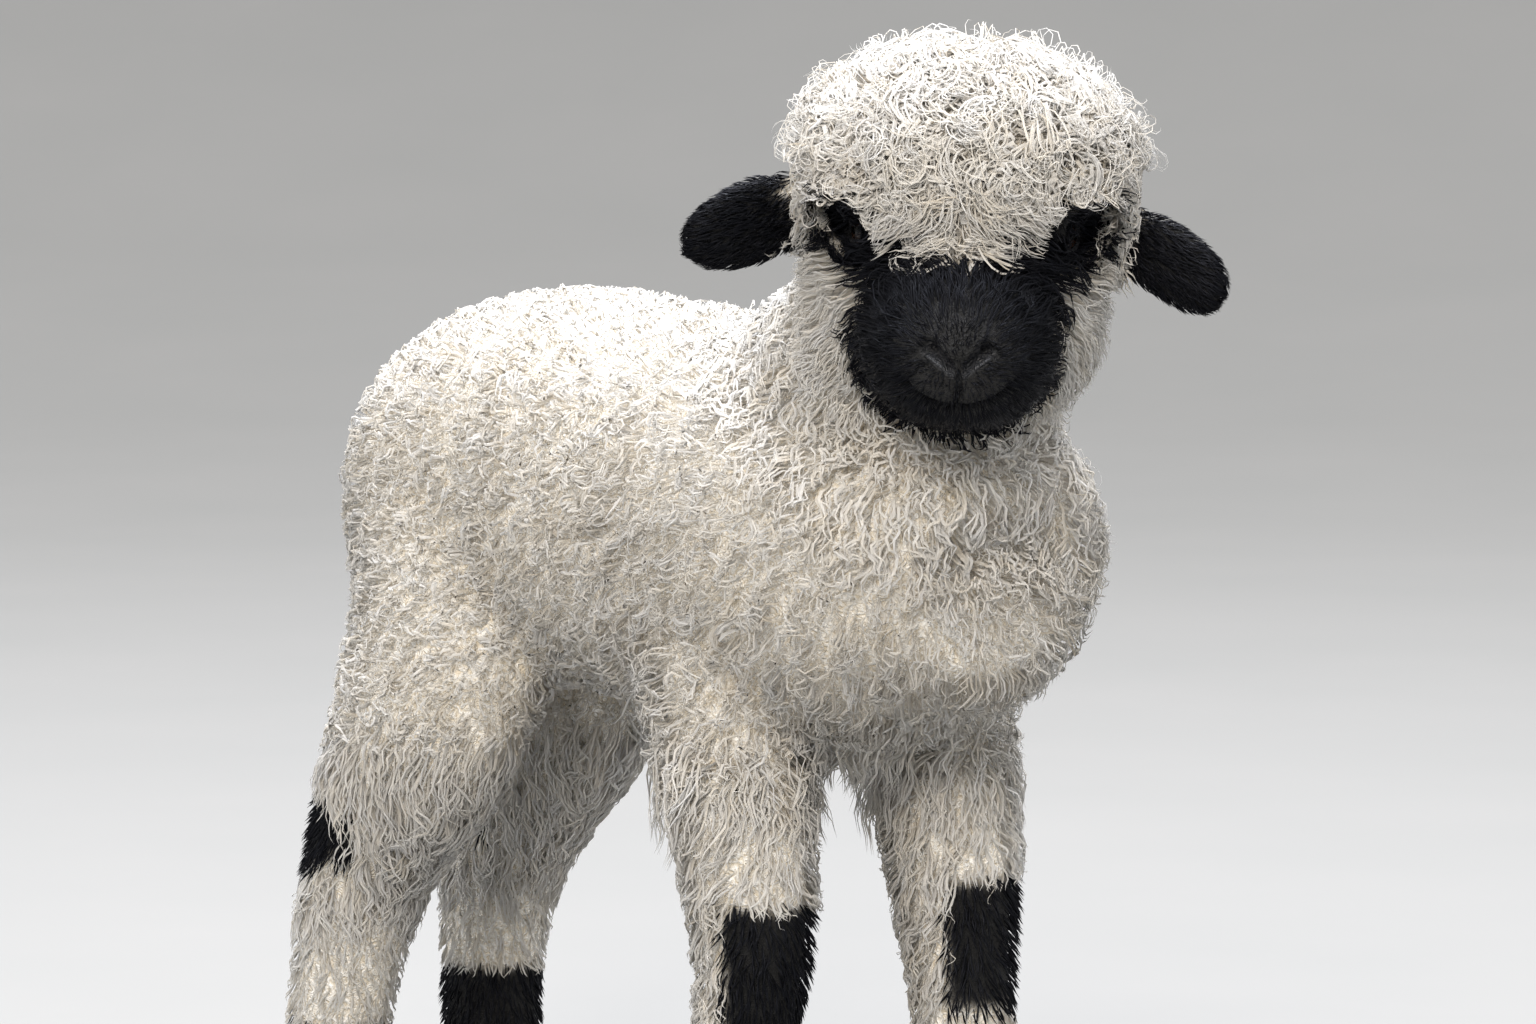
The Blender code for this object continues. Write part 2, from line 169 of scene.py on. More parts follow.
# The skin
# One skin over the whole lamb, under the wool, from muzzle to coronets.
# It follows the outline of the coat, sunk by the depth of the wool or fur over it.
CUT_CLOSED = 0.0007  # each part swells by this, which closes the thin cuts between them
SKIN_GRAIN = 0.0033
COAT_DEPTH = {  # how deep the skin lies under the tips of the coat
    "topknot": 0.0145,
    "head": 0.0120,
    "muzzle": 0.0050,
    "neck": 0.01250,
    "chest": 0.01100,
    "barrel": 0.00750,
    "rump": 0.00850,
    "tail": 0.0075,
    "ear": 0.0032,
    "upper": 0.0064,
    "lower": 0.0042,
    "foot": 0.0032,
}
HEAD_PLACE = (
    Matrix.Translation(Vector((-0.028, -0.260, 0.505)) + BODY_SHIFT)
    @ Matrix.Rotation(radians(-42.5), 4, "Z")
    @ Matrix.Rotation(radians(1.5), 4, "Y")
)
EYE_RADIUS = 0.0112
HOOF_TOP = 0.0240
EYE_AT = (0.0392, -0.0170, -0.0020)
EYE_FACING = (0.80, -0.60, 0.0)
HEAD_TURN = np.array(HEAD_PLACE.to_3x3())
HEAD_MIDDLE = np.array(HEAD_PLACE.translation)
flesh = [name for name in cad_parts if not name.startswith(("eye_", "claw_"))]


def to_head(points):
    """Points in the head's own frame: x to its left, -y ahead, z up."""
    return (points - HEAD_MIDDLE) @ HEAD_TURN


def ramp(low, high, values):
    """A smooth step from 0 at low to 1 at high."""
    t = np.clip((values - low) / (high - low), 0.0, 1.0)
    return t * t * (3.0 - 2.0 * t)


def unit(vectors):
    return vectors / np.maximum(np.linalg.norm(vectors, axis=-1, keepdims=True), 1e-12)


def eye_frame(hand):
    """The place of one eye, with z out through the pupil and y up."""
    centre = Vector((hand * EYE_AT[0], EYE_AT[1], EYE_AT[2]))
    out = Vector((hand * EYE_FACING[0], EYE_FACING[1], EYE_FACING[2]))
    ahead = Vector((0.0, 0.0, 1.0)).cross(out)
    turn = Matrix((ahead, Vector((0.0, 0.0, 1.0)), out)).transposed().to_4x4()
    return HEAD_PLACE @ Matrix.Translation(centre) @ turn


def kind_of(name):
    """The row of COAT_DEPTH that a part belongs to."""
    return next(kind for kind in COAT_DEPTH if kind in name.split("_"))


def coat_outline():
    """The outline of the whole coat as one closed mesh of small squares."""
    bm = bmesh.new()
    for name in flesh:
        part = bmesh.new()
        part.from_mesh(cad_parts[name].data)
        bmesh.ops.remove_doubles(part, verts=part.verts, dist=1e-5)
        part.normal_update()
        for vert in part.verts:
            vert.co += vert.normal * CUT_CLOSED
        swollen = bpy.data.meshes.new(name)
        part.to_mesh(swollen)
        part.free()
        bm.from_mesh(swollen)
    for hand in (-1, 1):
        plug = eye_frame(hand) @ Matrix.Translation((0.0, 0.0, 0.0015))
        bmesh.ops.create_icosphere(bm, subdivisions=4, radius=0.0148, matrix=plug)
    mesh = bpy.data.meshes.new("outline")
    bm.to_mesh(mesh)
    bm.free()
    made = new_object("outline", mesh)
    join = made.modifiers.new("join", "REMESH")
    join.mode = "VOXEL"
    join.voxel_size = SKIN_GRAIN
    graph = bpy.context.evaluated_depsgraph_get()
    result = bpy.data.meshes.new_from_object(made.evaluated_get(graph))
    bpy.data.objects.remove(made)
    return result


def largest_body(mesh):
    """The mesh less any bubbles that were shut in at the cuts."""
    bm = bmesh.new()
    bm.from_mesh(mesh)
    left = set(bm.verts)
    bodies = []
    while left:
        todo = [left.pop()]
        body = list(todo)
        while todo:
            for edge in todo.pop().link_edges:
                for vert in edge.verts:
                    if vert in left:
                        left.remove(vert)
                        todo.append(vert)
                        body.append(vert)
        bodies.append(body)
    bodies.sort(key=len)
    for body in bodies[:-1]:
        bmesh.ops.delete(bm, geom=body, context="VERTS")
    bmesh.ops.triangulate(bm, faces=bm.faces)
    return bm


def read(layer, key, width, kind=np.float64):
    values = np.empty(len(layer) * width, kind)
    layer.foreach_get(key, values)
    return values.reshape(-1, width) if width > 1 else values


def evened(values, edges, rounds, share=0.5):
    """Each value drawn towards the mean of its neighbours along the edges."""
    flat = values.ndim == 1
    values = values.reshape(len(values), -1).astype(float)
    ends = np.concatenate([edges[:, 0], edges[:, 1]])
    others = np.concatenate([edges[:, 1], edges[:, 0]])
    count = np.maximum(np.bincount(ends, minlength=len(values)), 1)
    for _ in range(rounds):
        for k in range(values.shape[1]):
            mean = np.bincount(ends, values[others, k], len(values)) / count
            values[:, k] += (mean - values[:, k]) * share
    return values[:, 0] if flat else values


def corner_normals(points, faces):
    """Outward unit normals at the points of a triangle mesh."""
    a, b, c = (points[faces[:, k]] for k in range(3))
    across = np.cross(b - a, c - a)
    out = np.zeros_like(points)
    for k in range(3):
        for axis in range(3):
            out[:, axis] += np.bincount(faces[:, k], across[:, axis], len(points))
    return unit(out)


bm = largest_body(coat_outline())
skin_mesh = bpy.data.meshes.new("skin")
bm.to_mesh(skin_mesh)
bm.free()
outline = read(skin_mesh.vertices, "co", 3)
edges = read(skin_mesh.edges, "vertices", 2, np.int32)
faces = read(skin_mesh.polygons, "vertices", 3, np.int32)

# Which part each point belongs to, from the nearest corner of the solid parts
corner_parts = []
corner_places = []
for index, name in enumerate(flesh):
    spots = read(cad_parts[name].data.vertices, "co", 3)
    corner_places.append(spots)
    corner_parts.append(np.full(len(spots), index))
    spots = read(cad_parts[name].data.polygons, "center", 3)
    corner_places.append(spots)
    corner_parts.append(np.full(len(spots), index))
corner_places = np.concatenate(corner_places)
corner_parts = np.concatenate(corner_parts)


def nearest_of(spots, wanted):
    """For each wanted point, the number of the nearest of the spots."""
    tree = KDTree(len(spots))
    for index, spot in enumerate(spots):
        tree.insert(spot, index)
    tree.balance()
    return np.array([tree.find(spot)[1] for spot in wanted])


def nearest_part(points):
    """The part of the lamb that is nearest to each point."""
    return corner_parts[nearest_of(corner_places, points)]


part_at = nearest_part(outline)
depth = np.array([COAT_DEPTH[kind_of(name)] for name in flesh])[part_at]
local = to_head(outline)
on_head = np.isin(part_at, [i for i, n in enumerate(flesh) if n in ("head", "topknot", "muzzle")])
eye_near = np.minimum(
    *[np.linalg.norm(outline - np.array(eye_frame(hand).translation), axis=1) for hand in (-1, 1)]
)
depth = np.where(on_head & (eye_near < 0.026), 0.0085, depth)
nose_near = np.linalg.norm(local - (0.0, -0.083, -0.062), axis=1)
depth = np.where(on_head & (nose_near < 0.030), 0.0030 + 0.05 * nose_near, depth)
depth = evened(depth, edges, 14)
points = outline.copy()
PUSHES = 10
for _ in range(PUSHES):
    inward = corner_normals(points, faces) * (-depth / PUSHES)[:, None]
    inward[:, 2] *= ramp(HOOF_TOP, HOOF_TOP + 0.010, outline[:, 2])
    points += inward
    points = points + (evened(points, edges, 1) - points) * 0.5
low = outline[:, 2] < HOOF_TOP + 0.004
points[low, 2] = np.minimum(points[low, 2], HOOF_TOP - 0.0010)

kept = skin_mesh.attributes.new("outline", "FLOAT_VECTOR", "POINT")
kept.data.foreach_set("vector", outline.ravel())
skin_mesh.vertices.foreach_set("co", points.ravel())
skin_mesh.update()


def finer(mesh, chosen):
    """Splits each edge of the chosen faces in two."""
    bm = bmesh.new()
    bm.from_mesh(mesh)
    bm.faces.ensure_lookup_table()
    edges = {edge for index in np.flatnonzero(chosen) for edge in bm.faces[index].edges}
    bmesh.ops.subdivide_edges(bm, edges=list(edges), cuts=1, use_grid_fill=True)
    bmesh.ops.triangulate(bm, faces=bm.faces)
    bm.to_mesh(mesh)
    bm.free()


def face_middles(mesh):
    return read(mesh.polygons, "center", 3)


for reach in (0.040, 0.030):
    middles = face_middles(skin_mesh)
    spots = to_head(middles)
    near_nose = np.linalg.norm(spots - (0.0, -0.080, -0.068), axis=1) < reach
    for hand in (-1, 1):
        eye = np.array(eye_frame(hand).translation)
        near_nose |= np.linalg.norm(middles - eye, axis=1) < reach - 0.012
    finer(skin_mesh, near_nose)

points = read(skin_mesh.vertices, "co", 3)
outline = read(skin_mesh.attributes["outline"].data, "vector", 3)
edges = read(skin_mesh.edges, "vertices", 2, np.int32)
faces = read(skin_mesh.polygons, "vertices", 3, np.int32)
normals = corner_normals(points, faces)

# Nose, lips and chin, cut and raised in the head's own frame
NOSE_HEIGHT = -0.0585
MOUTH_HEIGHT = -0.0775


def stroke(across, up, start, end, wide):
    """How near each point is to a straight stroke, from 1 on it down to 0."""
    start, end = np.array(start), np.array(end)
    along = end - start
    spot = np.stack([across, up], axis=-1) - start
    share = np.clip(spot @ along / (along @ along), 0.0, 1.0)
    off = spot - share[..., None] * along
    return np.exp(-(off**2).sum(-1) / wide**2)


local = to_head(points)
side = np.abs(local[:, 0])
up = local[:, 2] - NOSE_HEIGHT
front = ramp(-0.058, -0.068, local[:, 1])
lift = np.zeros(len(points))
nostril = stroke(side, up, (0.0040, 0.0000), (0.0125, 0.0085), 0.0021)
nostril_end = stroke(side, up, (0.0125, 0.0085), (0.0150, 0.0060), 0.0021)
rim = stroke(side, up, (0.0020, -0.0040), (0.0140, 0.0045), 0.0014)
wing = stroke(side, up, (0.0050, 0.0060), (0.0110, 0.0130), 0.0030)
groove = stroke(side, up, (0.0, -0.0030), (0.0, -0.0140), 0.0011)
lip_height = MOUTH_HEIGHT + 0.0105 * (side / 0.0245) ** 2
on_mouth = np.exp(-(((local[:, 2] - lip_height) / 0.0018) ** 2)) * ramp(0.030, 0.023, side)
upper_lip = np.exp(-(((local[:, 2] - lip_height - 0.0070) / 0.0050) ** 2)) * ramp(0.030, 0.014, side)
lower_lip = np.exp(-(((local[:, 2] - lip_height + 0.0060) / 0.0045) ** 2)) * ramp(0.028, 0.012, side)
fold = stroke(side, up, (0.0150, 0.0010), (0.0245, -0.0100), 0.0016)
lift -= 0.0046 * nostril + 0.0030 * nostril_end
lift += 0.0018 * rim + 0.0008 * wing
lift -= 0.0018 * groove + 0.0045 * on_mouth + 0.0010 * fold
lift += 0.0026 * upper_lip * ramp(0.0, 0.004, side) - 0.0012 * lower_lip
points += normals * (lift * front)[:, None]
bare = front * np.clip(2.0 * np.maximum.reduce([nostril, rim, nostril_end, groove * 0.6]), 0, 1)
in_nostril = front * np.clip(nostril + nostril_end, 0, 1)
inside_mouth = front * on_mouth

# Lids: the skin closes over the eyeball all round an almond opening
LID_OPEN = (0.0088, 0.0054)
lid_edge = np.zeros(len(points))
for hand in (-1, 1):
    place = np.array(eye_frame(hand).inverted())
    spot = points @ place[:3, :3].T + place[:3, 3]
    far = np.linalg.norm(spot, axis=1)
    toward = spot / np.maximum(far, 1e-9)[:, None] * EYE_RADIUS
    almond = np.abs(toward[:, 1] + 0.0004) / LID_OPEN[1] + (toward[:, 0] / LID_OPEN[0]) ** 2
    ahead = spot[:, 2] > 0.0
    over = ahead & (far < 0.0165)
    rim_up = 0.0007 * np.exp(-(((almond - 1.12) / 0.16) ** 2))
    wanted = np.where(almond > 1.0, EYE_RADIUS + 0.0012 + rim_up, EYE_RADIUS - 0.0022)
    blend = ramp(0.0165, 0.0140, far)
    wanted = np.where(almond > 1.0, np.maximum(far, wanted), wanted)
    moved = spot * ((far + (wanted - far) * blend) / np.maximum(far, 1e-9))[:, None]
    back = np.array(eye_frame(hand))
    moved = moved @ back[:3, :3].T + back[:3, 3]
    points = np.where(over[:, None], moved, points)
    lid_edge = np.maximum(lid_edge, np.where(over & (almond < 1.25), 1.0, 0.0))

skin_mesh.vertices.foreach_set("co", points.ravel())
skin_mesh.update()
normals = corner_normals(points, faces)
part_at = nearest_part(outline)
kinds = np.array([kind_of(name) for name in flesh])[part_at]
names = np.array(flesh)[part_at]


def share_of(chosen, rounds=6):
    """A soft-edged share, 0 to 1, of the points that are chosen."""
    return evened(chosen.astype(float), edges, rounds)


# Markings: black muzzle, eye patches, ears, knees, hocks and boots, on white
def blackness(points, names):
    """1 where the lamb is black and 0 where it is white, from place and part alone."""
    local = to_head(points)
    plan = points - np.array(BODY_SHIFT)
    kinds = np.array([kind_of(name) for name in names])
    face = np.isin(kinds, ["head", "muzzle", "topknot"])
    ahead = (local - (0.0, -0.031, -0.054)) @ np.array((0.0, -0.829, -0.559))
    wedge = ramp(-0.018, -0.008, local[:, 2]) * ramp(0.012, 0.002, np.abs(local[:, 0]))
    widened = local[:, 0] * np.where(local[:, 0] > 0, 1.10, 1.0)
    off = 0.0510 - np.hypot(widened, local[:, 2] + 0.047)
    muzzle = np.minimum(ahead + 0.010, off)
    muzzle = muzzle - 0.032 * wedge
    mirrored = np.abs(local[:, :1]) * (1, 0, 0) + local * (0, 1, 1)
    middle, wide = np.where(local[:, :1] > 0, (0.0490, 0.0098), (0.0520, 0.0122)).T
    across = mirrored[:, 0] - middle - 0.35 * local[:, 2]
    patch = (1.0 - np.hypot(across / wide, (local[:, 2] + 0.003) / 0.0190)) * wide
    patch = np.minimum(patch, 0.014 - local[:, 1])
    ends = np.array((0.0480, -0.0200, -0.0060)), np.array((0.0330, -0.0500, -0.0250))
    along = ends[1] - ends[0]
    share = np.clip((mirrored - ends[0]) @ along / (along @ along), 0.0, 1.0)
    link = 0.0130 - np.linalg.norm(mirrored - ends[0] - share[:, None] * along, axis=1)
    lids = 0.0250 - np.linalg.norm(mirrored - EYE_AT, axis=1)
    patch = np.maximum.reduce([patch, link, lids])
    black = np.where(face, np.maximum(muzzle, patch), -1.0)
    black = np.where(kinds == "ear", 1.0, black)
    front_leg = np.array([name.startswith("foreleg") for name in names])
    hind_leg = np.array([name.startswith("hindleg") for name in names])
    right = plan[:, 0] < 0
    z = plan[:, 2]
    # Knees: black in front, more to its left side
    middle_x = np.where(right, -0.055, 0.055)
    middle_y = np.where(right, -0.142, -0.165)
    ahead = 0.60 * (plan[:, 0] - middle_x) - 0.80 * (plan[:, 1] - middle_y)
    knee_top = np.where(right, 0.188, 0.194)
    knee_low = np.where(right, 0.118, 0.132)
    in_height = np.minimum(knee_top - z, z - knee_low)
    around = ahead + np.where(right, 0.011, 0.002)
    black = np.where(front_leg, np.maximum(np.minimum(in_height, around), 0.078 - z), black)
    # Hocks: a small spot behind; boots over the hooves
    outside = -0.766 * (plan[:, 0] - np.where(right, -0.065, 0.060))
    outside = outside + 0.643 * (plan[:, 1] - np.where(right, 0.127, 0.180))
    back = plan[:, 1] - np.where(right, 0.165, 0.205)
    across = plan[:, 0] - np.where(right, -0.073, 0.052)
    hock = np.minimum(0.026 - np.hypot(z - 0.198, 0.75 * across), np.maximum(back, outside - 0.021))
    boot = np.where(right, 0.094, 0.108) - z
    black = np.where(hind_leg, np.maximum(hock, boot), black)
    return black


eye_near = np.minimum(
    *[np.linalg.norm(points - np.array(eye_frame(hand).translation), axis=1) for hand in (-1, 1)]
)
# Painted shade: the walls of the deep eye pits are made black in skin and fur, partly widening the eye
# patches and partly standing in for the pit's shade
pit_wall_shade = np.minimum(0.0240 - eye_near, to_head(points)[:, 2] + 0.0085)
black_and_pit_shade = np.maximum(blackness(outline, names), pit_wall_shade)
dark = evened(ramp(-0.003, 0.003, black_and_pit_shade), edges, 1)
for name, values in (("dark", dark), ("bare", np.maximum(bare, lid_edge * 0.8))):
    layer = skin_mesh.attributes.new(name, "FLOAT", "POINT")
    layer.data.foreach_set("value", values)
skin_mesh.attributes.remove(skin_mesh.attributes["outline"])
for polygon in skin_mesh.polygons:
    polygon.use_smooth = True
skin = new_object("skin", skin_mesh)

# The skin is laid flat in charts by Blender's own unwrap, for its baked colours
bpy.context.view_layer.objects.active = skin
skin.select_set(True)
bpy.ops.object.mode_set(mode="EDIT")
bpy.ops.mesh.select_all(action="SELECT")
bpy.ops.uv.smart_project(angle_limit=radians(70), island_margin=0.002)
bpy.ops.object.mode_set(mode="OBJECT")
skin.select_set(False)
skin_mesh.uv_layers[0].name = "OFBake"
flat_places = read(skin_mesh.uv_layers["OFBake"].uv, "vector", 2).reshape(-1, 3, 2)
faces = read(skin_mesh.polygons, "vertices", 3, np.int32)

# Sueded skin under wool: cream and quite matt, with the crimp of the lowest wool as relief, and painted
# shade darkening the cream in the crimp's hollows.
# Under the black fur it is black, also on the walls of the eye pits where that black is partly painted
# shade, and on the nose it is bare, damp and finely pebbled.
made, tree, shader = new_material("lambskin")
place = node(tree, "ShaderNodeTexCoord").outputs["Object"]
dark_share = node(tree, "ShaderNodeAttribute", {"attribute_name": "dark"}).outputs["Fac"]
bare_share = node(tree, "ShaderNodeAttribute", {"attribute_name": "bare"}).outputs["Fac"]
crimp = node(tree, "ShaderNodeTexNoise", Vector=place, Scale=260.0, Detail=3.0, Distortion=2.2)
# Painted shade: the cream goes darker where the crimp relief is low, as shade in its hollows
shaded_creases = node(tree, "ShaderNodeMapRange", Value=crimp.outputs["Fac"], From_Min=0.36, From_Max=0.62)
cream = node(tree, "ShaderNodeMix", {"data_type": "RGBA"}, i0=shaded_creases.outputs["Result"])
cream.inputs[6].default_value = linear("#ddd1bb")
cream.inputs[7].default_value = linear("#fcfaf5")
coated = node(tree, "ShaderNodeMix", {"data_type": "RGBA"}, i0=dark_share)
tree.links.new(cream.outputs[2], coated.inputs[6])
coated.inputs[7].default_value = linear("#040405")
whole = node(tree, "ShaderNodeMix", {"data_type": "RGBA"}, i0=bare_share)
tree.links.new(coated.outputs[2], whole.inputs[6])
whole.inputs[7].default_value = linear("#1c1d21")
tree.links.new(whole.outputs[2], shader.inputs["Base Color"])
gloss = node(tree, "ShaderNodeMix", i0=bare_share, i2=0.85, i3=0.36)
tree.links.new(gloss.outputs[0], shader.inputs["Roughness"])
relief = node(tree, "ShaderNodeBump", Height=crimp.outputs["Fac"], Strength=0.9, Distance=0.0040)
pebble = node(tree, "ShaderNodeTexVoronoi", Vector=place, Scale=1300.0)
pebbled = node(
    tree, "ShaderNodeBump", Height=pebble.outputs["Distance"], Strength=bare_share, Distance=0.0002,
    Normal=relief.outputs["Normal"],
)
tree.links.new(pebbled.outputs["Normal"], shader.inputs["Normal"])
skin_mesh.materials.append(made)
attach(skin, "root")
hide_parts(*flesh)

# The eyes
# Wet balls almost hidden by the wool, dark brown with a level slot of a pupil.
# Each is a finer ball than its solid, with the cornea raised in front.
eye_look, tree, shader = new_material("wet dark brown eye")
spot = node(tree, "ShaderNodeUVMap", {"uv_map": "pupil"}).outputs["UV"]
split = node(tree, "ShaderNodeSeparateXYZ", Vector=spot)
wide = node(tree, "ShaderNodeMath", {"operation": "MULTIPLY"}, i0=split.outputs["X"], i1=0.42)
flat_spot = node(tree, "ShaderNodeCombineXYZ", X=wide.outputs[0], Y=split.outputs["Y"])
slot_far = node(tree, "ShaderNodeVectorMath", {"operation": "LENGTH"}, i0=flat_spot.outputs[0])
iris_far = node(tree, "ShaderNodeVectorMath", {"operation": "LENGTH"}, i0=spot)
streaks = node(tree, "ShaderNodeTexNoise", Vector=spot, Scale=14.0, Detail=3.0)
iris = node(tree, "ShaderNodeMix", {"data_type": "RGBA"}, i0=streaks.outputs["Fac"])
iris.inputs[6].default_value = linear("#0e0805")
iris.inputs[7].default_value = linear("#2a180d")
in_pupil = node(
    tree, "ShaderNodeMapRange", {"interpolation_type": "SMOOTHSTEP"},
    Value=slot_far.outputs["Value"], From_Min=0.13, From_Max=0.19,
)
past_iris = node(
    tree, "ShaderNodeMapRange", {"interpolation_type": "SMOOTHSTEP"},
    Value=iris_far.outputs["Value"], From_Min=0.62, From_Max=0.74,
)
seen = node(tree, "ShaderNodeMix", {"data_type": "RGBA"}, i0=in_pupil.outputs["Result"])
seen.inputs[6].default_value = linear("#030303")
tree.links.new(iris.outputs[2], seen.inputs[7])
rimmed = node(tree, "ShaderNodeMix", {"data_type": "RGBA"}, i0=past_iris.outputs["Result"])
tree.links.new(seen.outputs[2], rimmed.inputs[6])
rimmed.inputs[7].default_value = linear("#1a1512")
tree.links.new(rimmed.outputs[2], shader.inputs["Base Color"])
shader.inputs["Roughness"].default_value = 0.06
shader.inputs["IOR"].default_value = 1.38
for hand, side_name in ((1, "left"), (-1, "right")):
    bm = bmesh.new()
    bmesh.ops.create_uvsphere(bm, u_segments=40, v_segments=28, radius=EYE_RADIUS)
    settle(bm)
    for vert in bm.verts:
        off = (vert.co.x**2 + vert.co.y**2) ** 0.5 / EYE_RADIUS
        if vert.co.z > 0 and off < 0.7:
            vert.co.z += 0.0009 * (1 - (off / 0.7) ** 2)
    layer = bm.loops.layers.uv.new("pupil")
    for face in bm.faces:
        face.smooth = True
        for loop in face.loops:
            ahead = loop.vert.co.z > 0
            reach = (loop.vert.co.x / EYE_RADIUS, loop.vert.co.y / EYE_RADIUS)
            loop[layer].uv = reach if ahead else (1.0, 1.0)
    bm.transform(eye_frame(hand))
    ball_mesh = bpy.data.meshes.new(f"eyeball_{side_name}")
    bm.to_mesh(ball_mesh)
    bm.free()
    ball_mesh.materials.append(eye_look)
    eyeball = new_object(f"eyeball_{side_name}", ball_mesh)
    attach(eyeball, "root")
    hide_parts(f"eye_{side_name}")

# The hooves
# Eight claws of black horn, satin all over, with faint growth rings.
# Each is its solid with the edges rounded over, so its sole stays flat on the floor.
WALL_ROUNDING = 0.0009
made, tree, shader = new_material("black hoof horn")
place = node(tree, "ShaderNodeTexCoord").outputs["Object"]
growth = node(
    tree, "ShaderNodeTexWave", {"bands_direction": "Z"}, Vector=place, Scale=130.0,
    Distortion=3.0, Detail=2.0, Detail_Scale=3.0,
)
grain = node(tree, "ShaderNodeTexNoise", Vector=place, Scale=500.0, Detail=3.0)
horn = node(tree, "ShaderNodeMix", {"data_type": "RGBA"}, i0=grain.outputs["Fac"])
horn.inputs[6].default_value = linear("#0b0a09")
horn.inputs[7].default_value = linear("#181513")
tree.links.new(horn.outputs[2], shader.inputs["Base Color"])
shader.inputs["Roughness"].default_value = 0.42
rings = node(tree, "ShaderNodeBump", Height=growth.outputs["Fac"], Strength=0.2, Distance=0.0003)
tree.links.new(rings.outputs["Normal"], shader.inputs["Normal"])
claws = [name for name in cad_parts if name.startswith("claw_")]
for name in claws:
    bm = bmesh.new()
    bm.from_mesh(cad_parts[name].data)
    bmesh.ops.remove_doubles(bm, verts=bm.verts, dist=1e-5)
    bmesh.ops.dissolve_limit(
        bm, angle_limit=radians(2), use_dissolve_boundaries=False, verts=bm.verts, edges=bm.edges
    )
    sharp = [edge for edge in bm.edges if edge.calc_face_angle(0.0) > radians(35)]
    bmesh.ops.bevel(
        bm, geom=sharp, offset=WALL_ROUNDING, offset_type="OFFSET", segments=3, profile=0.5,
        affect="EDGES", clamp_overlap=True, material=-1,
    )
    bmesh.ops.triangulate(bm, faces=bm.faces)
    settle(bm)
    for face in bm.faces:
        face.smooth = True
    wall_mesh = bpy.data.meshes.new(f"horn_{name}")
    bm.to_mesh(wall_mesh)
    bm.free()
    wall_mesh.set_sharp_from_angle(angle=radians(38))
    wall_mesh.materials.append(made)
    wall = new_object(f"horn_{name}", wall_mesh)
    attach(wall, "root")
    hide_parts(name)

# The lie of the coat
# Every lock starts at the skin, rises to the outline and leans the way the coat lies:
# down and back over the body, down the legs, out from the crown, and back from the nose.
rest = np.array(BODY_SHIFT)
plan = points - rest
local = to_head(points)


def from_head(vectors):
    return vectors @ HEAD_TURN.T


lie = np.tile((0.0, 0.55, -0.90), (len(points), 1))
lie[:, 0] += 0.5 * np.sign(plan[:, 0]) * ramp(0.0, 0.03, np.abs(plan[:, 0]))
for kind, way in (
    ("neck", (0.0, 0.20, -1.0)),
    ("chest", (0.0, 0.30, -1.0)),
    ("upper", (0.0, 0.15, -1.0)),
    ("lower", (0.0, 0.05, -1.0)),
    ("foot", (0.0, -0.10, -1.0)),
    ("tail", (0.0, 0.0, -1.0)),
):
    lie[kinds == kind] = way
crown = local - (0.0, 0.020, 0.070)
lie[kinds == "topknot"] = from_head(unit(crown) + (0.0, -0.30, -0.55))[kinds == "topknot"]
outward = ramp(-0.060, -0.010, local[:, 2])
cheek = np.stack(
    [(0.35 + 0.5 * outward) * np.sign(local[:, 0]), 0.45 + 0 * side, -0.75 + 0.4 * outward], axis=1
)
lie[kinds == "head"] = from_head(cheek)[kinds == "head"]
from_nose = unit(local - (0.0, -0.088, -0.062)) + (0.0, 0.25, 0.0)
lie[kinds == "muzzle"] = from_head(from_nose)[kinds == "muzzle"]
for name, way in (("ear_right", (-0.95, -0.10, -0.22)), ("ear_left", (0.88, -0.10, -0.48))):
    lie[names == name] = from_head(np.array(way))
lie = evened(lie, edges, 10)
normals = corner_normals(points, faces)
lie = unit(lie - normals * (lie * normals).sum(1, keepdims=True))
rise = outline - points  # from the skin out to the tips of the coat

corner = points[faces]
face_area = np.linalg.norm(np.cross(corner[:, 1] - corner[:, 0], corner[:, 2] - corner[:, 0]), axis=1) / 2
face_lie = unit(lie[faces].mean(1))
face_rise = rise[faces].mean(1)
face_normal = unit(normals[faces].mean(1))
nose_off = np.linalg.norm(local - (0.0, -0.085, -0.064), axis=1)
shortness = np.where(kinds == "muzzle", 0.20 + 0.80 * ramp(0.010, 0.038, nose_off), 1.0)
by_lips = front * np.exp(-(((local[:, 2] - lip_height - 0.002) / 0.006) ** 2)) * ramp(0.032, 0.022, side)
shortness = shortness * (1.0 - 0.65 * by_lips)
skin_search = BVHTree.FromPolygons(points.tolist(), faces.tolist())
rng = np.random.default_rng(24)


def scattered(weight, spacing):
    """Roots about spacing apart where weight is 1, and sparser where it is less."""
    chance = face_area * weight[faces].mean(1)
    wanted = int(2.6 * chance.sum() / spacing**2)
    picked = rng.choice(len(faces), wanted, p=chance / chance.sum())
    a, b = rng.random(wanted), rng.random(wanted)
    over = a + b > 1
    a, b = np.where(over, 1 - a, a), np.where(over, 1 - b, b)
    inside = np.stack([1 - a - b, a, b], axis=1)
    roots = (corner[picked] * inside[..., None]).sum(1)
    cells = np.floor(roots / spacing).astype(np.int64)
    keys = cells @ np.array((73856093, 19349663, 83492791))
    _, first = np.unique(keys, return_index=True)
    first.sort()
    return picked[first], inside[first]


def along_skin(picked, inside, length, stops, turn):
    """Walks from each root the way the coat lies, and notes the skin at each stop."""
    spots = (corner[picked] * inside[..., None]).sum(1)
    out = []
    c, s = np.cos(turn)[:, None], np.sin(turn)[:, None]
    for stop in range(stops):
        normal = face_normal[picked]
        way = face_lie[picked]
        way = unit(way * c + np.cross(normal, way) * s)
        out.append((spots, normal, way, face_rise[picked]))
        if stop < stops - 1:
            ahead = spots + way * (length / (stops - 1))[:, None]
            found = [skin_search.find_nearest(spot) for spot in ahead]
            spots = np.array([hit[0] for hit in found])
            picked = np.array([hit[2] for hit in found])
    return [np.stack(values, axis=1) for values in zip(*out)]


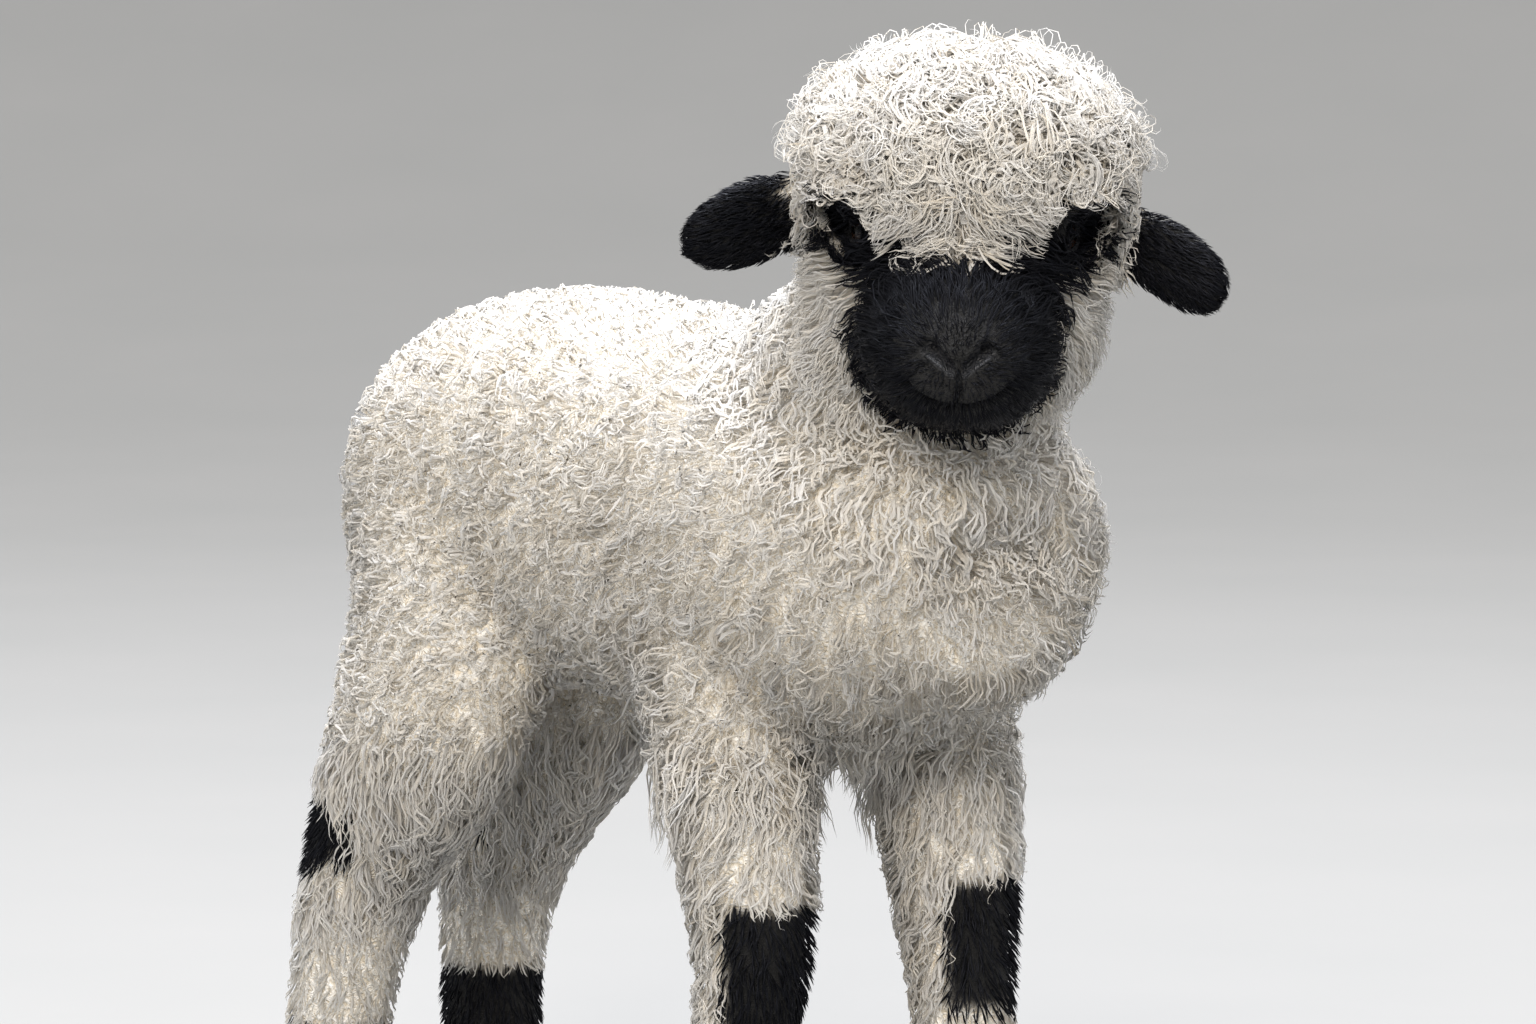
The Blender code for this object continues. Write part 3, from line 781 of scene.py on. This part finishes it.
def between(values, shares):
    """Rows of values read at shares, 0 to 1, of the way along them."""
    spot = shares * (values.shape[1] - 1)
    low = np.minimum(spot.astype(int), values.shape[1] - 2)
    part = (spot - low)[None, :, None]
    return values[:, low] * (1 - part) + values[:, low + 1] * part


def lock_paths(picked, inside, style, weight):
    """The middle lines of strands: up from the skin, over with the lie, and round the curl.

    Strands whose roots lie near one another share a lock: its curl, its lean and its turn.
    """
    roots = (corner[picked] * inside[..., None]).sum(1)
    lock_picked, lock_inside = scattered(weight, style["lock"])
    lock_roots = (corner[lock_picked] * lock_inside[..., None]).sum(1)
    mine = nearest_of(lock_roots, roots)
    locks = len(lock_roots)
    count = len(picked)

    def shared(values, spread):
        return values[mine] * rng.uniform(1.0 - spread, 1.0 + spread, count)

    length = shared(rng.uniform(0.8, 1.2, locks), 0.15) * style["length"]
    length = length * (shortness[faces][picked] * inside).sum(1)
    turn = rng.normal(0.0, style["stray"], locks)[mine] + rng.normal(0.0, 0.15, count)
    spots, normal, way, out = along_skin(picked, inside, length, style.get("stops", 3), turn)
    share = np.linspace(0.0, 1.0, style["points"])
    mix = np.array(style["axis"]) + rng.normal(0.0, style["tumble"], (locks, 3))
    mix = mix[mine] + rng.normal(0.0, 0.06, (count, 3))
    across = np.cross(normal[:, 1], way[:, 1])
    axis = unit(mix[:, :1] * way[:, 1] + mix[:, 1:2] * normal[:, 1] + mix[:, 2:] * across)
    first = unit(np.cross(axis, rng.normal(0.0, 1.0, (locks, 3))[mine]))
    second = np.cross(axis, first)
    phase = rng.normal(0.0, style["loose"], count)
    radius = shared(rng.uniform(0.70, 1.30, locks), 0.4 * style["loose"]) * style["radius"]
    turns = shared(rng.uniform(0.8, 1.2, locks) * rng.choice([-1.0, 1.0], locks), 0.1 * style["loose"])
    turns = turns * style["turns"]
    ragged = style["ragged"]
    lift = shared(rng.uniform(1.0 - ragged, 1.0 + ragged, locks), 0.06) * style["lift"]
    height = ramp(0.0, style["rooted"], share)[None, :, None] * lift[:, None, None]
    reach = share - style["hook"] * share**2
    path = between(spots, reach) + between(out, reach) * height
    facing = unit(between(normal, reach))
    path = path + facing * (style["stand"] * share**2)[None, :, None]
    path[..., 2] -= style["sag"] * share**2
    apart = roots - lock_roots[mine]
    apart = np.where(np.linalg.norm(apart, axis=1, keepdims=True) < 1.2 * style["lock"], apart, 0.0)
    path = path - apart[:, None] * (style["pull"] * ramp(0.0, 0.8, share))[None, :, None]
    round_by = phase[:, None] + 2 * pi * turns[:, None] * share[None, :]
    swell = ramp(0.0, style["rooted"] * 1.2, share) * (1.0 - style["tighten"] * share)
    ring = (radius[:, None] * swell)[..., None]
    path = path + ring * (
        np.cos(round_by)[..., None] * first[:, None] + np.sin(round_by)[..., None] * second[:, None]
    )
    return path, facing, mine


def lock_mesh(name, path, facing, half, style, uv_roots, tone):
    """Closed three-sided tapering tubes along the paths, as one mesh."""
    flat = style["flat"]
    soft = style["soft"]  # how far a strand's shading leans towards that of the coat as a whole
    count, points_each, _ = path.shape
    along = unit(np.gradient(path, axis=1))
    share = np.linspace(0.0, 1.0, points_each)
    profile = (0.55 + 0.45 * ramp(0.0, 0.35, share)) * (1.0 - 0.75 * ramp(0.55, 1.0, share))
    across = unit(np.cross(along[:, 0], rng.normal(0.0, 1.0, (count, 3))))
    rings, shades = [], []
    for k in range(points_each - 1):
        across = unit(across - along[:, k] * (across * along[:, k]).sum(1, keepdims=True))
        other = np.cross(along[:, k], across)
        for corner_at in range(3):
            turn = 2 * pi * corner_at / 3
            reach = across * cos(turn) + other * sin(turn) * flat
            rings.append(path[:, k] + reach * (half * profile[k])[:, None])
            own = across * cos(turn) + other * sin(turn)
            shades.append(unit(own * (1.0 - soft) + facing[:, k] * soft))
    verts = np.stack([*rings, path[:, -1]], axis=1)
    shades = np.stack([*shades, facing[:, -1]], axis=1)
    each = verts.shape[1]
    tris, marks = [], []
    for k in range(points_each - 2):
        for a in range(3):
            b = (a + 1) % 3
            low, high = 3 * k, 3 * k + 3
            left, right = a / 3, (a + 1) / 3
            near, far = share[k], share[k + 1]
            tris += [(low + a, low + b, high + b), (low + a, high + b, high + a)]
            marks += [
                ((left, near), (right, near), (right, far)),
                ((left, near), (right, far), (left, far)),
            ]
    last = 3 * (points_each - 2)
    for a in range(3):
        b = (a + 1) % 3
        tris.append((last + a, last + b, each - 1))
        marks.append(((a / 3, share[-2]), ((a + 1) / 3, share[-2]), ((a + 0.5) / 3, 1.0)))
    tris.append((0, 2, 1))
    marks.append(((0.0, 0.0), (0.7, 0.0), (0.35, 0.02)))
    tris, marks = np.array(tris), np.array(marks)
    whole = (tris[None] + (np.arange(count) * each)[:, None, None]).reshape(-1, 3)
    mesh = bpy.data.meshes.new(name)
    mesh.vertices.add(count * each)
    mesh.vertices.foreach_set("co", verts.astype(np.float32).ravel())
    mesh.loops.add(whole.size)
    mesh.loops.foreach_set("vertex_index", whole.astype(np.int32).ravel())
    mesh.polygons.add(len(whole))
    mesh.polygons.foreach_set("loop_start", np.arange(0, whole.size, 3, dtype=np.int32))
    mesh.update(calc_edges=True)
    mesh.polygons.foreach_set("use_smooth", np.ones(len(whole), bool))
    mesh.normals_split_custom_set_from_vertices(shades.reshape(-1, 3).astype(np.float32))
    bake = mesh.uv_layers.new(name="OFBake")
    patch = uv_roots[:, None, None] + 0.003 * (marks[None] - 0.5)
    bake.uv.foreach_set("vector", np.clip(patch, 0.0, 1.0).astype(np.float32).ravel())
    strand = mesh.uv_layers.new(name="strand")
    strand_uv = np.tile(marks[None], (count, 1, 1, 1)) + rng.random((count, 1, 1, 1)) * (7.0, 0.0)
    strand.uv.foreach_set("vector", strand_uv.astype(np.float32).ravel())
    ring_share = np.append(np.repeat(share[:-1], 3), 1.0)
    for key, values in (("along", np.tile(ring_share, count)), ("tone", np.repeat(tone, each))):
        layer = mesh.attributes.new(key, "FLOAT", "POINT")
        layer.data.foreach_set("value", values.astype(np.float32))
    return mesh


def before_eyes(path):
    """True at each point that would hang in front of an eye."""
    hidden = np.zeros(path.shape[:2], bool)
    for hand in (-1, 1):
        place = np.array(eye_frame(hand).inverted())
        spot = path @ place[:3, :3].T + place[:3, 3]
        off = np.hypot(spot[..., 0], spot[..., 1])
        hidden |= (spot[..., 2] > 0.004) & (off < 0.0080 + 0.06 * spot[..., 2])
    return hidden


def before_face(path):
    """True at each point that would hang in front of an eye or its patch, or out along an ear."""
    spot = to_head(path)
    over_ear = (np.abs(spot[..., 0]) > 0.079) & (spot[..., 2] < 0.027)
    window = np.where(spot[..., 0] > 0, 0.0485, -0.0520)
    across = spot[..., 0] - window - 0.35 * np.sign(window) * spot[..., 2]
    over_patch = np.hypot(across / 0.0078, (spot[..., 2] + 0.004) / 0.0150) < 1.0
    return before_eyes(path) | over_ear | (over_patch & (spot[..., 1] < -0.018))


def over_black(path):
    """True at each point of a white lock that would lie well over black fur."""
    spots = path.reshape(-1, 3)
    over = blackness(spots, np.array(flesh)[nearest_part(spots)]) > 0.006
    return over.reshape(path.shape[:2])


def cut_short(path, facing, blocked):
    """Ends each strand before its first blocked point, and says which are long enough to keep."""
    points_each = path.shape[1]
    reach = np.where(blocked.any(1), blocked.argmax(1) - 1.0, points_each - 1.0)
    spot = np.linspace(0.0, 1.0, points_each) * np.maximum(reach, 0.0)[:, None]
    low = np.minimum(spot.astype(int), points_each - 2)[..., None]
    part = spot[..., None] - low
    made = [
        np.take_along_axis(values, low, 1) * (1 - part) + np.take_along_axis(values, low + 1, 1) * part
        for values in (path, facing)
    ]
    return made[0], unit(made[1]), reach > 0.3 * points_each


def grow(name, style, weight, look, blocked=None):
    """Grows coat where weight is above 0, in as many pieces as its triangles need."""
    picked, inside = scattered(weight, style["spacing"])
    path, facing, mine = lock_paths(picked, inside, style, weight)
    uv_roots = (flat_places[picked] * inside[..., None]).sum(1)
    half = style["half"] * rng.uniform(0.75, 1.25, len(path))
    tone = 0.6 * rng.random(mine.max() + 1)[mine] + 0.4 * rng.random(len(path))
    if blocked:
        path, facing, kept = cut_short(path, facing, blocked(path))
        path, facing, uv_roots = path[kept], facing[kept], uv_roots[kept]
        half, tone = half[kept], tone[kept]
    each = 6 * (style["points"] - 2) + 4
    pieces = 1 + len(path) * each // 190000
    order = np.argsort(path[:, 0, 0], kind="stable")
    for index, chosen in enumerate(np.array_split(order, pieces)):
        part = name if pieces == 1 else f"{name}_{index + 1}"
        mesh = lock_mesh(
            part, path[chosen], facing[chosen], half[chosen], style, uv_roots[chosen], tone[chosen],
        )
        mesh.materials.append(look)
        made = new_object(part, mesh)
        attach(made, "root")
        print(f"{part}: {len(chosen)} strands, {len(mesh.polygons)} triangles")


# Lamb's wool: long fine fibres in crimped locks, matt and open, that let light through.
# It is cream at the root and whiter at the tip, with the fibres drawn as fine streaks.
wool, tree, shader = new_material("crimped lamb's wool")
tone = node(tree, "ShaderNodeAttribute", {"attribute_name": "tone"}).outputs["Fac"]
along_share = node(tree, "ShaderNodeAttribute", {"attribute_name": "along"}).outputs["Fac"]
fibres_at = node(tree, "ShaderNodeUVMap", {"uv_map": "strand"}).outputs["UV"]
fibres_at = node(tree, "ShaderNodeMapping", Vector=fibres_at, Scale=(13.0, 1.6, 1.0))
fibres = node(tree, "ShaderNodeTexNoise", Vector=fibres_at.outputs[0], Scale=1.0, Detail=1.0)
white = node(tree, "ShaderNodeMix", {"data_type": "RGBA"}, i0=along_share)
white.inputs[6].default_value = linear("#f4ead8")
white.inputs[7].default_value = linear("#fefbf5")
worn = node(tree, "ShaderNodeMix", {"data_type": "RGBA"}, i0=tone)
tree.links.new(white.outputs[2], worn.inputs[6])
worn.inputs[7].default_value = linear("#fffefc")
streak = node(
    tree, "ShaderNodeMapRange", Value=fibres.outputs["Fac"], From_Min=0.30, From_Max=0.60,
    To_Min=0.90, To_Max=1.0,
)
streaked = node(tree, "ShaderNodeMix", {"data_type": "RGBA", "blend_type": "MULTIPLY"}, i0=1.0)
tree.links.new(worn.outputs[2], streaked.inputs[6])
tree.links.new(streak.outputs["Result"], streaked.inputs[7])
tree.links.new(streaked.outputs[2], shader.inputs["Base Color"])
shader.inputs["Roughness"].default_value = 0.75
shader.inputs["Specular IOR Level"].default_value = 0.25
fibre_relief = node(
    tree, "ShaderNodeBump", Height=fibres.outputs["Fac"], Strength=0.6, Distance=0.0005
)
tree.links.new(fibre_relief.outputs["Normal"], shader.inputs["Normal"])
through = node(tree, "ShaderNodeBsdfTranslucent")
tree.links.new(streaked.outputs[2], through.inputs["Color"])
lit = node(tree, "ShaderNodeMixShader", i0=0.58, i1=shader.outputs[0], i2=through.outputs[0])
tree.links.new(lit.outputs[0], tree.nodes["Material Output"].inputs["Surface"])

# Black lamb's fur: short, dense and soft, with a faint blue-grey sheen on its tips
black_fur, tree, shader = new_material("black plush fur")
tone = node(tree, "ShaderNodeAttribute", {"attribute_name": "tone"}).outputs["Fac"]
inky = node(tree, "ShaderNodeMix", {"data_type": "RGBA"}, i0=tone)
inky.inputs[6].default_value = linear("#030304")
inky.inputs[7].default_value = linear("#090a0e")
tree.links.new(inky.outputs[2], shader.inputs["Base Color"])
shader.inputs["Roughness"].default_value = 0.46
shader.inputs["Specular IOR Level"].default_value = 0.15
shader.inputs["Specular Tint"].default_value = linear("#d6daec")

clear = 1.0 - np.clip(np.maximum.reduce([bare, lid_edge, inside_mouth]), 0, 1)
# The dark share also holds the painted shade of the eye-pit walls, so black fur grows there as well
is_dark = (dark > 0.5).astype(float)
is_light = ramp(0.6, 0.3, dark)
clear_of_floor = ramp(HOOF_TOP + 0.001, HOOF_TOP + 0.003, points[:, 2])

CRIMP = {
    "spacing": 0.0040, "lock": 0.0064, "pull": 0.45, "length": 0.0105, "points": 6, "stray": 0.9,
    "axis": (0.3, 0.8, 0.3), "tumble": 0.6, "radius": 0.0021, "turns": 1.2, "loose": 0.25,
    "hook": 0.3, "lift": 0.92, "ragged": 0.10, "rooted": 0.4, "stand": 0.0, "sag": 0.0,
    "tighten": 0.2, "half": 0.00080, "flat": 0.6, "soft": 0.72,
}
grow("wool_barrel", CRIMP, share_of(kinds == "barrel"), wool)
grow("wool_rump", CRIMP, share_of(kinds == "rump") * is_light, wool)
HOOKS = {
    **CRIMP, "spacing": 0.0042, "lock": 0.0078, "length": 0.0150, "points": 7, "radius": 0.0030,
    "turns": 1.4, "stray": 0.6, "pull": 0.65, "hook": 0.4, "ragged": 0.22, "stand": 0.004,
    "half": 0.00064,
}
grow("wool_chest", HOOKS, share_of(kinds == "chest"), wool)
BRISKET_LOCKS = {
    **HOOKS, "spacing": 0.0046, "lock": 0.0090, "length": 0.0300, "points": 8, "turns": 1.6,
    "stray": 0.3, "pull": 0.8, "hook": 0.25, "sag": 0.0200, "axis": (0.6, 0.8, 0.2),
}
low_chest = ramp(0.285, 0.262, points[:, 2]) * ramp(0.0, -0.06, plan[:, 1])
grow("wool_brisket", BRISKET_LOCKS, share_of(kinds == "chest") * low_chest, wool)
NECK_LOCKS = {
    **CRIMP, "spacing": 0.0038, "lock": 0.0072, "length": 0.0220, "points": 7, "radius": 0.0018,
    "turns": 1.5, "stray": 0.35, "axis": (0.8, 0.5, 0.1), "tumble": 0.3, "pull": 0.6, "hook": 0.25,
}
nape = (kinds == "head") & (local[:, 1] > 0.012)
grow("wool_neck", NECK_LOCKS, share_of((kinds == "neck") | nape), wool)
LEG_LOCKS = {
    **CRIMP, "spacing": 0.0037, "lock": 0.0080, "length": 0.0230, "points": 7, "radius": 0.0016,
    "turns": 1.4, "stray": 0.3, "axis": (0.8, 0.5, 0.1), "tumble": 0.3, "pull": 0.65, "hook": 0.2,
    "rooted": 0.6, "half": 0.0007,
}
fore = np.char.startswith(names, "foreleg").astype(float)
hind = np.char.startswith(names, "hindleg").astype(float)
upper = np.isin(kinds, ["upper"]).astype(float)
lower = np.isin(kinds, ["lower", "foot"]) * clear_of_floor
grow("wool_forelegs", LEG_LOCKS, share_of(fore * upper, 4) * is_light, wool, over_black)
THIGH_LOCKS = {**LEG_LOCKS, "length": 0.0340, "points": 7, "turns": 1.6, "stops": 5}
grow("wool_hindlegs", THIGH_LOCKS, share_of(hind * upper, 4) * is_light, wool, over_black)
SHANK = {
    **LEG_LOCKS, "spacing": 0.0038, "lock": 0.0062, "length": 0.0120, "points": 5, "radius": 0.0009,
    "half": 0.0006, "rooted": 0.8,
}
grow("wool_shanks", SHANK, lower * is_light, wool, over_black)
grow("wool_tail", {**LEG_LOCKS, "spacing": 0.0042}, share_of(kinds == "tail", 2) * is_light, wool)
CHEEK = {
    **NECK_LOCKS, "spacing": 0.0024, "lock": 0.0060, "length": 0.0230, "points": 6,
    "radius": 0.0010, "half": 0.00050, "stray": 0.30, "pull": 0.5, "stand": 0.006,
}
on_cheek = share_of((kinds == "head") & ~nape, 3) * is_light * clear
grow("wool_cheeks", CHEEK, on_cheek, wool, blocked=before_face)

# The topknot
# A mop of long loose ringlets that fall from the crown over the brow and the ears.
RINGLETS = {
    "spacing": 0.0033, "lock": 0.0094, "pull": 0.94, "length": 0.0340, "points": 14,
    "stray": 0.4, "axis": (0.2, 1.0, 0.2), "tumble": 0.30, "radius": 0.0054, "turns": 1.6,
    "loose": 0.14, "hook": 0.45, "lift": 0.70, "ragged": 0.22, "rooted": 0.30, "stand": 0.001,
    "sag": 0.0, "tighten": 0.2, "half": 0.00052, "flat": 0.8, "stops": 6, "soft": 0.66,
}
brow = (local[:, 2] > -0.026) & (np.abs(local[:, 0]) < 0.012) & (local[:, 1] < -0.02)
on_top = share_of((kinds == "topknot") | brow, 3) * is_light
grow("topknot", RINGLETS, on_top, wool, blocked=before_face)
CREST_CURLS = {
    **RINGLETS, "spacing": 0.0070, "lock": 0.0100, "pull": 0.5, "length": 0.0280, "points": 13,
    "lift": 0.92, "ragged": 0.15, "stand": 0.003, "half": 0.00030, "axis": (0.1, 0.5, 0.9),
    "tumble": 0.6,
}
grow("topknot_crest", CREST_CURLS, on_top, wool, blocked=before_face)
UNDERWOOL = {
    **CRIMP, "spacing": 0.0036, "lock": 0.0080, "length": 0.0160, "points": 5, "radius": 0.0030,
    "half": 0.0014, "lift": 0.66, "soft": 0.9, "ragged": 0.25, "flat": 0.5,
}
grow("topknot_underwool", UNDERWOOL, on_top, wool, blocked=before_face)

# Fine fibres that stand out of the fleece all round and soften its outline
FRIZZ = {
    **CRIMP, "spacing": 0.0095, "lock": 0.0120, "pull": 0.0, "length": 0.0160, "points": 7,
    "radius": 0.0030, "turns": 0.9, "half": 0.00022, "lift": 1.08, "ragged": 0.2, "flat": 0.9,
}
fleece = np.isin(kinds, ["topknot", "neck", "chest", "barrel", "rump", "upper", "head", "tail"])
grow("fleece_fibres", FRIZZ, fleece * is_light, wool, blocked=before_face)

# The black plush of face, ears and legs
# Short dense fur, a few millimetres long, that lies back from the nose.
PLUSH = {
    "lock": 0.0040, "pull": 0.25, "hook": 0.0, "loose": 0.3, "sag": 0.0, "soft": 0.3, "spacing": 0.0017, "length": 0.0062, "points": 3, "stray": 0.35, "axis": (1.0, 0.0, 0.0),
    "tumble": 0.3, "radius": 0.0004, "turns": 0.4, "lift": 0.85, "ragged": 0.35, "rooted": 0.9,
    "stand": 0.001, "tighten": 0.0, "half": 0.00042, "flat": 0.6, "stops": 2,
}
on_face = np.isin(kinds, ["head", "muzzle", "topknot"]) * is_dark * clear
grow("fur_face", PLUSH, on_face, black_fur)
MUZZLE_TUFTS = {
    **PLUSH, "spacing": 0.0030, "lock": 0.0065, "pull": 0.7, "length": 0.0160, "points": 5,
    "radius": 0.0016, "turns": 0.8, "hook": 0.2, "lift": 1.0, "ragged": 0.25, "rooted": 0.6,
    "half": 0.0005, "stops": 3,
}
far_from_nose = ramp(0.030, 0.045, nose_off)
grow("fur_muzzle_tufts", MUZZLE_TUFTS, on_face * far_from_nose, black_fur, before_eyes)
EAR_FUR = {
    **PLUSH, "spacing": 0.0014, "length": 0.0075, "lift": 0.85, "ragged": 0.12, "half": 0.00042,
    "stray": 0.15, "stand": 0.0, "rooted": 0.8,
}
grow("fur_ears", EAR_FUR, (kinds == "ear").astype(float), black_fur)
LEG_FUR = {
    **PLUSH, "spacing": 0.0028, "length": 0.0085, "lift": 0.90, "ragged": 0.2, "half": 0.00065,
    "stray": 0.2, "stand": 0.0006, "rooted": 0.9,
}
on_legs = (1 - np.isin(kinds, ["head", "muzzle", "topknot", "ear"])) * is_dark * clear_of_floor
grow("fur_legs", LEG_FUR, on_legs, black_fur)
